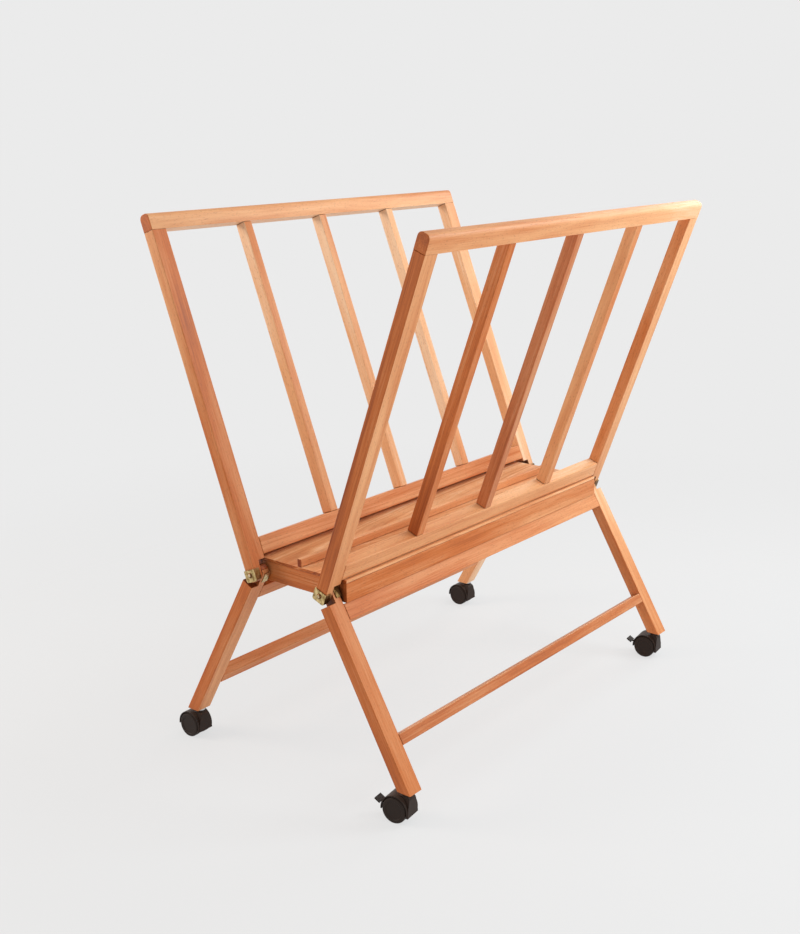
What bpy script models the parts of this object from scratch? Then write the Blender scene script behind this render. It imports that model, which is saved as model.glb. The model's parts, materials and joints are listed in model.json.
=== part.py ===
"""Folding print rack: two slatted panels and two leg frames hinged on a tray, standing on castors.

X runs across the rack, Y along it and Z up. The origin is on the floor, under the middle of the tray.
"""
import math

import bmesh
import bpy
from mathutils import Matrix, Vector

# Overall sizes, in metres and degrees
LENGTH = 0.840
PIVOT_HEIGHT = 0.354
PIVOT_INSET = 0.0268
LEAN = 21.0
SPLAY = 30.0

# Posts and legs are cut from the same stick and lap over each other at half its width
STICK_WIDTH = 0.031
STICK_DEPTH = 0.0235
LAP_SHOULDER = 0.021
TONGUE_PAST_PIVOT = 0.002

# Slatted panels
POST_RISE = 0.617
TOP_RAIL_DEPTH = 0.024
TOP_RAIL_HEIGHT = 0.031
TOP_RAIL_ROUND = 0.009
BOTTOM_RAIL_HEIGHT = 0.030
SLAT_COUNT = 3
SLAT_WIDTH = 0.0188
SLAT_DEPTH = 0.0228

# Leg frames
LEG_RAIL_HEIGHT = 0.0284
STRETCHER_DROP = 0.2562
STRETCHER_HEIGHT = 0.019

# Tray
TRAY_WIDTH = 0.2166
TRAY_RISE = 0.0213
TRAY_HEIGHT = 0.039
FLOOR_THICKNESS = 0.005
APRON_THICKNESS = 0.018
END_BOARD_THICKNESS = 0.018
RIB_WIDTH = 0.009
RIB_HEIGHT = 0.015

# Tenons
TENON_THICKNESS = 0.010
TENON_LENGTH = 0.012
POST_TENON_WIDTH = 0.015
POST_TENON_LENGTH = 0.015
RAIL_TENON_HEIGHT = 0.018
STRETCHER_TENON_HEIGHT = 0.010
END_BOARD_TENON_LENGTH = 0.008

# Pivot hardware
CLIP_THICKNESS = 0.0012
CLIP_DEPTH = 0.012
CLIP_CORNER = 0.004
POST_CLIP_TOE = 0.012
POST_CLIP_TAIL = 0.009
LEG_CLIP_TOE = 0.007
LEG_CLIP_TAIL = 0.014
PIN_RADIUS = 0.003
PIN_HEAD_RADIUS = 0.0048
PIN_HEAD_HEIGHT = 0.0024
PIN_COLLAR_RADIUS = 0.007
PIN_COLLAR_THICKNESS = 0.0025

# Castors
CASTOR_HEIGHT = 0.0555
LEFT_CASTOR_TURN = 2.0
RIGHT_CASTOR_TURN = 8.0
STEM_INSET = 0.005
TRAIL = 0.016
WHEEL_RADIUS = 0.0225
WHEEL_WIDTH = 0.0117
WHEEL_EDGE = 0.0024
WHEEL_DISH_RADIUS = 0.0155
WHEEL_DISH_DEPTH = 0.0008
WHEEL_FACE = 0.004
AXLE_RADIUS = 0.003
WEB_WIDTH = 0.011
WEB_HUB_RADIUS = 0.007
WHEEL_SIDE_GAP = 0.0005
HOOD_GAP = 0.0012
HOOD_THICKNESS = 0.0025
HOOD_INSET = 0.0012
HOOD_CROWN_HALF = 0.0078
HOOD_BULGE = 1.4
HOOD_LAP_ANGLE = 5.0
HOOD_FRONT_DROP = 0.0088
HOOD_CORNER = 0.007
BOSS_RADIUS = 0.008
BOSS_SINK = 0.002
STEM_RADIUS = 0.004
STEM_IN_LEG = 0.012
STEM_IN_HOOD = 0.012
COLLAR_RADIUS = 0.008
COLLAR_THICKNESS = 0.0027

# Brake levers, whose pivots are measured from the wheel's centre
BRAKE_PIVOT_BACK = 0.017
BRAKE_PIVOT_UP = 0.005
BRAKE_HUB_RADIUS = 0.003
BRAKE_NECK_WIDTH = 0.005
BRAKE_NECK_DROP = 0.0035
BRAKE_THICKNESS = 0.0028
BRAKE_TRUNNION_RADIUS = 0.0015
BRAKE_PAD_GAP = 0.0063
BRAKE_PAD_LENGTH = 0.0115
BRAKE_PAD_TILT = 32.0
BRAKE_PAD_WIDTH = 0.018

# Working values
FIT = 0.0003
EASE = 0.001
SMALL_EASE = 0.0005
WELD = 0.00001
CUT_OVER = 0.01
EMPTY_SIZE = 0.03
SMOOTH_ANGLE = 35.0
SQUARE_ANGLE = 50.0
CAP_FACING = 0.99
ARC_STEPS = 10
CORNER_STEPS = 5
DOME_STEPS = 3
ROUND_STEPS = 36
SMALL_ROUND_STEPS = 14

# Finishes: colour, roughness, metallic
BEECH = ((0.56, 0.27, 0.12), 0.45, 0.0)
BEECH_FLOOR = ((0.60, 0.31, 0.14), 0.50, 0.0)
BRASSED_STEEL = ((0.62, 0.52, 0.26), 0.35, 1.0)
ZINC_STEEL = ((0.60, 0.60, 0.58), 0.35, 1.0)
BLACK_NYLON = ((0.030, 0.026, 0.024), 0.45, 0.0)

NEAR = -1
FAR = 1
LEFT = -1
RIGHT = 1
ENDS = {"near": NEAR, "far": FAR}
SIDES = {"left": LEFT, "right": RIGHT}
CASTOR_TURNS = {LEFT: LEFT_CASTOR_TURN, RIGHT: RIGHT_CASTOR_TURN}

# Places that follow from the sizes above
PIVOT_SPACING = TRAY_WIDTH - 2 * PIVOT_INSET
HALF_LENGTH = LENGTH / 2
INNER_HALF_LENGTH = HALF_LENGTH - STICK_WIDTH
LAP_PLANE = HALF_LENGTH - STICK_WIDTH / 2
HALF_DEPTH = STICK_DEPTH / 2
TRAY_END_GAP = CLIP_THICKNESS + PIN_COLLAR_THICKNESS + 3 * FIT
TRAY_HALF_LENGTH = INNER_HALF_LENGTH - TRAY_END_GAP
TRAY_TOP = PIVOT_HEIGHT + TRAY_RISE
TRAY_BOTTOM = TRAY_TOP - TRAY_HEIGHT
FRAME_TOP = TRAY_TOP - FLOOR_THICKNESS - FIT
LEAN_ANGLE = math.radians(LEAN)
SPLAY_ANGLE = math.radians(SPLAY)


def bottom_rail_rise():
    """Distance up the post at which the rail's outer corner comes to rest on the tray."""
    return (TRAY_RISE + FIT + HALF_DEPTH * math.sin(LEAN_ANGLE)) / math.cos(LEAN_ANGLE)


def leg_rail_drop():
    """Distance down the leg at which the rail's outer corner meets the underside of the tray."""
    below = TRAY_HEIGHT - TRAY_RISE + FIT
    return (below + HALF_DEPTH * math.sin(SPLAY_ANGLE)) / math.cos(SPLAY_ANGLE)


def foot_drop(outward):
    """Distance down the leg to its level foot, at a distance outward from the leg's centre line."""
    fall = PIVOT_HEIGHT - CASTOR_HEIGHT
    return (fall + outward * math.sin(SPLAY_ANGLE)) / math.cos(SPLAY_ANGLE)


def stem_place(side, end):
    """Middle of a castor's stem, where it meets the level foot of a leg."""
    foot_offset = (PIVOT_HEIGHT - CASTOR_HEIGHT) * math.tan(SPLAY_ANGLE)
    across = PIVOT_SPACING / 2 + foot_offset - STEM_INSET
    return Vector((side * across, end * LAP_PLANE, CASTOR_HEIGHT))


# Scene and helpers
for old in list(bpy.data.objects):
    bpy.data.objects.remove(old, do_unlink=True)
parts = bpy.data.collections.new("folding_print_rack")
cutters = bpy.data.collections.new("cutters")
for folder in (parts, cutters):
    bpy.context.scene.collection.children.link(folder)


def empty(name, place, turn=(0.0, 0.0, 0.0)):
    """A parent that stands on a joint's axis."""
    holder = bpy.data.objects.new(name, None)
    holder.location = place
    holder.rotation_euler = turn
    holder.empty_display_size = EMPTY_SIZE
    parts.objects.link(holder)
    return holder


def paint(piece, finish):
    """Give a piece a material of its own."""
    colour, roughness, metallic = finish
    material = bpy.data.materials.new(piece.name + "_finish")
    material.use_nodes = True
    shader = material.node_tree.nodes["Principled BSDF"]
    shader.inputs["Base Color"].default_value = (*colour, 1.0)
    shader.inputs["Roughness"].default_value = roughness
    shader.inputs["Metallic"].default_value = metallic
    material.diffuse_color = (*colour, 1.0)
    piece.data.materials.append(material)


def finish_mesh(name, form, smooth=False):
    """Turn a bmesh into mesh data."""
    bmesh.ops.recalc_face_normals(form, faces=form.faces)
    mesh = bpy.data.meshes.new(name)
    form.to_mesh(mesh)
    form.free()
    if smooth:
        mesh.shade_smooth()
        mesh.set_sharp_from_angle(angle=math.radians(SMOOTH_ANGLE))
    return mesh


def place_part(name, mesh, finish, parent=None, location=(0.0, 0.0, 0.0), turn=(0.0, 0.0, 0.0)):
    """Add a named piece of the rack."""
    piece = bpy.data.objects.new(name, mesh)
    piece.location = location
    piece.rotation_euler = turn
    piece.parent = parent
    parts.objects.link(piece)
    paint(piece, finish)
    return piece


def place_cutter(name, mesh, parent=None, location=(0.0, 0.0, 0.0)):
    """Add a hidden piece that shapes others."""
    piece = bpy.data.objects.new(name, mesh)
    piece.location = location
    piece.parent = parent
    piece.hide_render = True
    piece.display_type = "WIRE"
    cutters.objects.link(piece)
    return piece


def shape(piece, tool, operation):
    """Cut a piece with a tool, or join the tool to it."""
    step = piece.modifiers.new(tool.name, "BOOLEAN")
    step.operation = operation
    step.object = tool
    step.solver = "EXACT"


def cut(piece, *tools):
    """Take the tools' shapes out of a piece."""
    for tool in tools:
        shape(piece, tool, "DIFFERENCE")


def join(piece, *tools):
    """Make the tools' shapes part of a piece."""
    for tool in tools:
        shape(piece, tool, "UNION")


def ease(form, width):
    """Take the sharpness off every square edge."""
    square = [edge for edge in form.edges if edge.calc_face_angle(0.0) > math.radians(SQUARE_ANGLE)]
    bmesh.ops.bevel(form, geom=square, offset=width, segments=1, profile=0.5, affect="EDGES",
                    loop_slide=True)


def block(lows, highs, width=0.0):
    """A box between two corners, with eased edges."""
    low = Vector([min(pair) for pair in zip(lows, highs)])
    high = Vector([max(pair) for pair in zip(lows, highs)])
    form = bmesh.new()
    bmesh.ops.create_cube(form, size=1.0)
    form.transform(Matrix.Translation((low + high) / 2) @ Matrix.Diagonal((*(high - low), 1.0)))
    if width:
        ease(form, width)
    return form


def arc(centre, radius, start, stop, steps=ARC_STEPS):
    """Points along an arc in the XZ plane, from one angle to another in degrees."""
    points = []
    for step in range(steps + 1):
        angle = math.radians(start + (stop - start) * step / steps)
        points.append((centre[0] + radius * math.cos(angle), centre[1] + radius * math.sin(angle)))
    return points


def prism(outline, low, high, width=0.0):
    """An outline in the XZ plane, drawn out along Y, with the edges of its ends eased."""
    curve = bpy.data.curves.new("outline", "CURVE")
    curve.dimensions = "2D"
    curve.fill_mode = "BOTH"
    curve.extrude = abs(high - low) / 2 - width
    curve.bevel_depth = width
    curve.bevel_resolution = 0
    curve.offset = -width
    spline = curve.splines.new("POLY")
    spline.points.add(len(outline) - 1)
    for point, (x, z) in zip(spline.points, outline):
        point.co = (x, z, 0.0, 1.0)
    spline.use_cyclic_u = True
    drawn = bpy.data.objects.new("outline", curve)
    cutters.objects.link(drawn)
    graph = bpy.context.evaluated_depsgraph_get()
    mesh = bpy.data.meshes.new_from_object(drawn.evaluated_get(graph))
    bpy.data.objects.remove(drawn)
    form = bmesh.new()
    form.from_mesh(mesh)
    bmesh.ops.remove_doubles(form, verts=form.verts, dist=WELD)
    form.normal_update()
    for direction in (-1, 1):
        cap = [face for face in form.faces if face.normal.z * direction > CAP_FACING]
        bmesh.ops.dissolve_faces(form, faces=cap)
    form.transform(Matrix.Translation((0, (low + high) / 2, 0)) @ Matrix.Rotation(math.pi / 2, 4, "X"))
    return form


def rod(centre, radius, length, axis, steps=SMALL_ROUND_STEPS):
    """A plain cylinder along Y or Z."""
    form = bmesh.new()
    bmesh.ops.create_cone(form, cap_ends=True, segments=steps, radius1=radius, radius2=radius, depth=length)
    turn = Matrix.Rotation(math.pi / 2, 4, "X") if axis == "Y" else Matrix.Identity(4)
    form.transform(Matrix.Translation(centre) @ turn)
    return form


def upright(low, high, radius):
    """A plain cylinder on the Z axis, from one height to another."""
    return rod((0.0, 0.0, (low + high) / 2), radius, high - low, "Z")


def turned(profile, steps):
    """A profile of radius and height, turned about Z; its outer side runs downwards."""
    form = bmesh.new()
    line = [form.verts.new((radius, 0.0, height)) for radius, height in profile]
    for first, second in zip(line, line[1:]):
        form.edges.new((first, second))
    mesh = bpy.data.meshes.new("profile")
    form.to_mesh(mesh)
    form.free()
    drawn = bpy.data.objects.new("profile", mesh)
    cutters.objects.link(drawn)
    lathe = drawn.modifiers.new("turn", "SCREW")
    lathe.steps = steps
    lathe.render_steps = steps
    lathe.use_merge_vertices = True
    lathe.merge_threshold = WELD
    graph = bpy.context.evaluated_depsgraph_get()
    spun = bpy.data.meshes.new_from_object(drawn.evaluated_get(graph))
    bpy.data.objects.remove(drawn)
    whole = bmesh.new()
    whole.from_mesh(spun)
    bmesh.ops.remove_doubles(whole, verts=whole.verts, dist=WELD)
    return whole


def facing(end):
    """Turn about X that points local Z out of the near or the far end."""
    return math.pi / 2 if end == NEAR else -math.pi / 2


def tenoned(name, finish, parent, lows, highs, axis, core_lows, core_highs, reach, width=EASE):
    """A board with a tenon at each end along an axis, and the cutter for both mortises."""
    board = place_part(name, finish_mesh(name, block(lows, highs, width)), finish, parent)
    core_low = list(core_lows)
    core_high = list(core_highs)
    core_low[axis] = lows[axis] - reach
    core_high[axis] = highs[axis] + reach
    core = place_cutter(name + "_core", finish_mesh(name + "_core", block(core_low, core_high)), parent)
    join(board, core)
    wide_low = [value - FIT for value in core_low]
    wide_high = [value + FIT for value in core_high]
    room = finish_mesh(name + "_mortise", block(wide_low, wide_high))
    return board, place_cutter(name + "_mortise", room, parent)


def half_of_stick(end, outboard):
    """Range of Y, past its faces, of the half of a stick that is cut away at the lap joint."""
    if outboard:
        return end * (LAP_PLANE - FIT / 2), end * (HALF_LENGTH + CUT_OVER)
    return end * (INNER_HALF_LENGTH - CUT_OVER), end * (LAP_PLANE + FIT / 2)


# Tray
def make_tray(bores):
    """The fixed tray: aprons, end boards, floor and rib."""
    half_width = TRAY_WIDTH / 2
    inner = half_width - APRON_THICKNESS
    aprons = []
    for side_name, side in SIDES.items():
        form = block((side * inner, -TRAY_HALF_LENGTH, TRAY_BOTTOM),
                     (side * half_width, TRAY_HALF_LENGTH, FRAME_TOP), SMALL_EASE)
        name = "tray_apron_" + side_name
        aprons.append(place_part(name, finish_mesh(name, form), BEECH))
    middle = (TRAY_BOTTOM + FRAME_TOP) / 2
    for end_name, end in ENDS.items():
        outer = end * TRAY_HALF_LENGTH
        back = end * (TRAY_HALF_LENGTH - END_BOARD_THICKNESS)
        core_middle = (outer + back) / 2
        board, mortise = tenoned(
            "tray_end_" + end_name, BEECH, None,
            (-inner + FIT, min(outer, back), TRAY_BOTTOM),
            (inner - FIT, max(outer, back), FRAME_TOP), 0,
            (0.0, core_middle - TENON_THICKNESS / 2, middle - RAIL_TENON_HEIGHT / 2),
            (0.0, core_middle + TENON_THICKNESS / 2, middle + RAIL_TENON_HEIGHT / 2),
            END_BOARD_TENON_LENGTH, SMALL_EASE)
        cut(board, *bores)
        for apron in aprons:
            cut(apron, mortise)
    form = block((-half_width, -TRAY_HALF_LENGTH, TRAY_TOP - FLOOR_THICKNESS),
                 (half_width, TRAY_HALF_LENGTH, TRAY_TOP), SMALL_EASE)
    place_part("tray_floor", finish_mesh("tray_floor", form), BEECH_FLOOR)
    form = block((-RIB_WIDTH / 2, -TRAY_HALF_LENGTH, TRAY_TOP + FIT),
                 (RIB_WIDTH / 2, TRAY_HALF_LENGTH, TRAY_TOP + RIB_HEIGHT), EASE)
    place_part("tray_rib", finish_mesh("tray_rib", form), BEECH)


def make_pivot_pins():
    """Stepped pins, peened at both ends, whose collars hold the leg clips off the tray."""
    head_seat = HALF_LENGTH + CLIP_THICKNESS + 2 * FIT
    collar_seat = TRAY_HALF_LENGTH + FIT
    tail_seat = TRAY_HALF_LENGTH - END_BOARD_THICKNESS - FIT
    collar_top = collar_seat + PIN_COLLAR_THICKNESS - head_seat
    collar_bottom = collar_seat - head_seat
    tail = tail_seat - head_seat
    dome = [(PIN_HEAD_RADIUS * x, PIN_HEAD_HEIGHT * z) for x, z in arc((0.0, 0.0), 1.0, 90, 0, DOME_STEPS)]
    dome[0] = (0.0, PIN_HEAD_HEIGHT)
    profile = dome + [(PIN_RADIUS, 0.0), (PIN_RADIUS, collar_top), (PIN_COLLAR_RADIUS, collar_top),
                      (PIN_COLLAR_RADIUS, collar_bottom), (PIN_RADIUS, collar_bottom), (PIN_RADIUS, tail)]
    profile += [(radius, tail - height) for radius, height in reversed(dome)]
    for side_name, side in SIDES.items():
        for end_name, end in ENDS.items():
            name = side_name + "_pivot_pin_" + end_name
            pin = finish_mesh(name, turned(profile, SMALL_ROUND_STEPS), True)
            spot = (side * PIVOT_SPACING / 2, end * head_seat, PIVOT_HEIGHT)
            place_part(name, pin, BRASSED_STEEL, None, spot, (facing(end), 0.0, 0.0))


def make_clip(name, parent, bore, end, outboard, toe, tail):
    """A bent metal clip round a lap joint's tongue, from its toe past the pivot to its tail on the stick."""
    half = HALF_DEPTH + FIT + CLIP_THICKNESS
    start = 0 if toe > 0 else 180
    across = math.copysign(half - CLIP_CORNER, toe)
    along = toe - math.copysign(CLIP_CORNER, toe)
    outline = arc((across, along), CLIP_CORNER, start, start + 90, CORNER_STEPS)
    outline += arc((-across, along), CLIP_CORNER, start + 90, start + 180, CORNER_STEPS)
    outline += [(outline[-1][0], tail), (outline[0][0], tail)]
    if outboard:
        web = end * (HALF_LENGTH + FIT + CLIP_THICKNESS)
        inside = end * (HALF_LENGTH + FIT)
    else:
        web = end * (INNER_HALF_LENGTH - FIT - CLIP_THICKNESS)
        inside = end * (INNER_HALF_LENGTH - FIT)
    inward = math.copysign(1.0, inside - web)
    rim = web + inward * CLIP_DEPTH
    form = prism(outline, web, rim)
    clip = place_part(name, finish_mesh(name, form), BRASSED_STEEL, parent)
    room = HALF_DEPTH + FIT
    over = 2 * half
    channel = block((-room, inside, -over), (room, rim + inward * CUT_OVER, over))
    cut(clip, place_cutter(name + "_channel", finish_mesh(name + "_channel", channel), parent), bore)


# Panels
def make_panel(side_name, side, holder, bore):
    """One slatted panel, in a frame whose Z runs up the posts and whose X points across them."""
    rail_low = bottom_rail_rise()
    rail_high = rail_low + BOTTOM_RAIL_HEIGHT
    top = POST_RISE
    posts = []
    tenon_low = top - TENON_LENGTH
    tenon_high = top + POST_TENON_LENGTH
    rail_half = TOP_RAIL_DEPTH / 2
    square = TOP_RAIL_HEIGHT - TOP_RAIL_ROUND
    flat = rail_half - TOP_RAIL_ROUND
    profile = [(-rail_half, top), (rail_half, top)]
    profile += arc((flat, top + square), TOP_RAIL_ROUND, 0, 90, CORNER_STEPS)
    profile += arc((-flat, top + square), TOP_RAIL_ROUND, 90, 180, CORNER_STEPS)
    name = side_name + "_top_rail"
    form = prism(profile, -HALF_LENGTH, HALF_LENGTH, EASE)
    top_rail = place_part(name, finish_mesh(name, form), BEECH, holder)

    for end_name, end in ENDS.items():
        name = side_name + "_post_" + end_name
        outline = arc((0.0, -TONGUE_PAST_PIVOT), HALF_DEPTH, 180, 360)
        outline += [(HALF_DEPTH, top - FIT), (-HALF_DEPTH, top - FIT)]
        form = prism(outline, end * INNER_HALF_LENGTH, end * HALF_LENGTH, EASE)
        post = place_part(name, finish_mesh(name, form), BEECH, holder)
        half_tenon = POST_TENON_WIDTH / 2
        core = block((-TENON_THICKNESS / 2, end * LAP_PLANE - half_tenon, tenon_low),
                     (TENON_THICKNESS / 2, end * LAP_PLANE + half_tenon, tenon_high))
        join(post, place_cutter(name + "_core", finish_mesh(name + "_core", core), holder))
        wide = block((-TENON_THICKNESS / 2 - FIT, end * LAP_PLANE - half_tenon - FIT, tenon_low),
                     (TENON_THICKNESS / 2 + FIT, end * LAP_PLANE + half_tenon + FIT, tenon_high + FIT))
        cut(top_rail, place_cutter(name + "_mortise", finish_mesh(name + "_mortise", wide), holder))
        low, high = half_of_stick(end, False)
        lap = block((-STICK_DEPTH, low, -STICK_DEPTH - CUT_OVER), (STICK_DEPTH, high, LAP_SHOULDER))
        cut(post, place_cutter(name + "_lap", finish_mesh(name + "_lap", lap), holder), bore)
        posts.append(post)
        clip_name = side_name + "_post_clip_" + end_name
        make_clip(clip_name, holder, bore, end, True, -POST_CLIP_TOE, POST_CLIP_TAIL)

    half_tenon = RAIL_TENON_HEIGHT / 2
    middle = (rail_low + rail_high) / 2
    bottom_rail, mortise = tenoned(
        side_name + "_bottom_rail", BEECH, holder,
        (-HALF_DEPTH, -INNER_HALF_LENGTH + FIT, rail_low),
        (HALF_DEPTH, INNER_HALF_LENGTH - FIT, rail_high), 1,
        (-TENON_THICKNESS / 2, 0.0, middle - half_tenon), (TENON_THICKNESS / 2, 0.0, middle + half_tenon),
        TENON_LENGTH)
    for post in posts:
        cut(post, mortise)

    gap = (2 * INNER_HALF_LENGTH - SLAT_COUNT * SLAT_WIDTH) / (SLAT_COUNT + 1)
    inner = -side * HALF_DEPTH
    outer = inner + side * SLAT_DEPTH
    centre = (inner + outer) / 2
    half_core = TENON_THICKNESS / 2
    for number in range(SLAT_COUNT):
        start = -INNER_HALF_LENGTH + gap + number * (gap + SLAT_WIDTH)
        across = start + SLAT_WIDTH / 2
        mortise = tenoned(
            f"{side_name}_slat_{number + 1}", BEECH, holder,
            (min(inner, outer), start, rail_high + FIT),
            (max(inner, outer), start + SLAT_WIDTH, top - FIT), 2,
            (centre - half_core, across - half_core, 0.0), (centre + half_core, across + half_core, 0.0),
            TENON_LENGTH)[1]
        cut(top_rail, mortise)
        cut(bottom_rail, mortise)


# Leg frames
def make_leg_frame(side_name, side, holder, bore):
    """One leg frame, in a frame whose Z runs up the legs and whose X points across them."""
    rail_high = -leg_rail_drop()
    rail_low = rail_high - LEG_RAIL_HEIGHT
    stretcher_high = -STRETCHER_DROP
    stretcher_low = stretcher_high - STRETCHER_HEIGHT
    legs = []
    for end_name, end in ENDS.items():
        name = side_name + "_leg_" + end_name
        outline = arc((0.0, TONGUE_PAST_PIVOT), HALF_DEPTH, 0, 180)
        outline += [(-HALF_DEPTH, -foot_drop(-side * HALF_DEPTH)),
                    (HALF_DEPTH, -foot_drop(side * HALF_DEPTH))]
        form = prism(outline, end * INNER_HALF_LENGTH, end * HALF_LENGTH, EASE)
        leg = place_part(name, finish_mesh(name, form), BEECH, holder)
        low, high = half_of_stick(end, True)
        lap = block((-STICK_DEPTH, low, -LAP_SHOULDER), (STICK_DEPTH, high, STICK_DEPTH + CUT_OVER))
        hole = rod((0.0, 0.0, 0.0), STEM_RADIUS + FIT, 2 * (STEM_IN_LEG + FIT), "Z")
        hole_mesh = finish_mesh(name + "_socket", hole)
        socket = place_cutter(name + "_socket", hole_mesh, None, stem_place(side, end))
        cut(leg, place_cutter(name + "_lap", finish_mesh(name + "_lap", lap), holder), bore, socket)
        legs.append(leg)
        clip_name = side_name + "_leg_clip_" + end_name
        make_clip(clip_name, holder, bore, end, False, LEG_CLIP_TOE, -LEG_CLIP_TAIL)

    rails = (("_leg_rail", rail_low, rail_high, RAIL_TENON_HEIGHT, SMALL_EASE),
             ("_stretcher", stretcher_low, stretcher_high, STRETCHER_TENON_HEIGHT, EASE))
    for name, low, high, tenon, width in rails:
        middle = (low + high) / 2
        mortise = tenoned(
            side_name + name, BEECH, holder,
            (-HALF_DEPTH, -INNER_HALF_LENGTH + FIT, low), (HALF_DEPTH, INNER_HALF_LENGTH - FIT, high), 1,
            (-TENON_THICKNESS / 2, 0.0, middle - tenon / 2), (TENON_THICKNESS / 2, 0.0, middle + tenon / 2),
            TENON_LENGTH, width)[1]
        for leg in legs:
            cut(leg, mortise)

    collar_bottom = -FIT - COLLAR_THICKNESS
    profile = [(0.0, STEM_IN_LEG), (STEM_RADIUS, STEM_IN_LEG), (STEM_RADIUS, -FIT), (COLLAR_RADIUS, -FIT),
               (COLLAR_RADIUS, collar_bottom), (STEM_RADIUS, collar_bottom),
               (STEM_RADIUS, collar_bottom - STEM_IN_HOOD), (0.0, collar_bottom - STEM_IN_HOOD)]
    for end_name, end in ENDS.items():
        name = f"castor_{side_name}_{end_name}_stem"
        stem = finish_mesh(name, turned(profile, SMALL_ROUND_STEPS), True)
        place_part(name, stem, ZINC_STEEL, None, stem_place(side, end))


# Castors
def wheel_profile():
    """Half section of a wheel from its closed outer face to its blind bore."""
    bore = AXLE_RADIUS + FIT
    rim = WHEEL_RADIUS
    return [(0.0, WHEEL_WIDTH - WHEEL_DISH_DEPTH), (WHEEL_DISH_RADIUS, WHEEL_WIDTH - WHEEL_DISH_DEPTH),
            (WHEEL_DISH_RADIUS + WHEEL_DISH_DEPTH, WHEEL_WIDTH), (rim - WHEEL_EDGE, WHEEL_WIDTH),
            (rim - WHEEL_EDGE / 3, WHEEL_WIDTH - WHEEL_EDGE / 3), (rim, WHEEL_WIDTH - WHEEL_EDGE),
            (rim, WHEEL_EDGE / 3), (rim - WHEEL_EDGE / 3, 0.0), (bore, 0.0),
            (bore, WHEEL_WIDTH - WHEEL_FACE), (0.0, WHEEL_WIDTH - WHEEL_FACE)]


def strip(start, stop, thickness):
    """Outline in the XZ plane of a flat strip from one point to another."""
    run = (Vector(stop) - Vector(start)).normalized()
    side = Vector((-run.y, run.x)) * thickness / 2
    return [Vector(start) - side, Vector(stop) - side, Vector(stop) + side, Vector(start) + side]


def make_brake(name, holder, centre, hood):
    """A bent lever on the back of a castor's hood: pad, neck and the trunnions that it turns on."""
    pivot = Vector((centre.x - BRAKE_PIVOT_BACK, centre.y, centre.z + BRAKE_PIVOT_UP))
    shell = WHEEL_RADIUS + HOOD_GAP + HOOD_THICKNESS
    tilt = math.radians(BRAKE_PAD_TILT)
    knee = Vector((BRAKE_PIVOT_BACK - shell - BRAKE_PAD_GAP, -BRAKE_NECK_DROP))
    tip = knee + BRAKE_PAD_LENGTH * Vector((-math.cos(tilt), math.sin(tilt)))
    past_knee = knee + knee.normalized() * BRAKE_THICKNESS / 2
    half_pad = BRAKE_PAD_WIDTH / 2
    half_neck = BRAKE_NECK_WIDTH / 2
    pad = prism(strip(knee, tip, BRAKE_THICKNESS), -half_pad, half_pad, SMALL_EASE)
    lever = place_part(name, finish_mesh(name, pad), BLACK_NYLON, holder, pivot)
    neck = prism(strip((0.0, 0.0), past_knee, BRAKE_THICKNESS / 2), -half_neck, half_neck)
    hub = rod((0.0, 0.0, 0.0), BRAKE_HUB_RADIUS, BRAKE_NECK_WIDTH + FIT, "Y")
    trunnion = rod((0.0, 0.0, 0.0), BRAKE_TRUNNION_RADIUS, WEB_WIDTH - 2 * FIT, "Y")
    tools = {"_neck": neck, "_hub": hub, "_trunnion": trunnion}
    for suffix, form in tools.items():
        join(lever, place_cutter(name + suffix, finish_mesh(name + suffix, form), holder, pivot))
    slot_half = half_neck + 2 * FIT
    slot = block((-shell, -slot_half, -BRAKE_PIVOT_UP - CUT_OVER),
                 (BRAKE_HUB_RADIUS + 2 * FIT, slot_half, BRAKE_HUB_RADIUS + 2 * FIT))
    bearing = rod((0.0, 0.0, 0.0), BRAKE_TRUNNION_RADIUS + FIT, WEB_WIDTH + CUT_OVER / 2, "Y")
    for suffix, form in {"_slot": slot, "_bearing": bearing}.items():
        cut(hood, place_cutter(name + suffix, finish_mesh(name + suffix, form), holder, pivot))


def nose_room(half, height):
    """Room round the wheel's centre that a hood's nose keeps to: flanks that close in towards its crown."""
    base = HOOD_FRONT_DROP + SMALL_EASE
    rise = height + FIT + base
    outline = [(half, -height)]
    for step in range(CORNER_STEPS + 1):
        share = step / CORNER_STEPS
        across = half - (half - HOOD_CROWN_HALF) * share ** HOOD_BULGE
        outline.append((across, rise * share - base))
    outline += [(-x, z) for x, z in reversed(outline)]
    form = prism(outline, -2 * height, 2 * height)
    form.transform(Matrix.Rotation(math.pi / 2, 4, "Z"))
    return form


def below_level(radius, drop):
    """Angle, in degrees, at which an arc round the wheel's centre has dropped below it by a distance."""
    return -math.degrees(math.asin(drop / radius))


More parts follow.
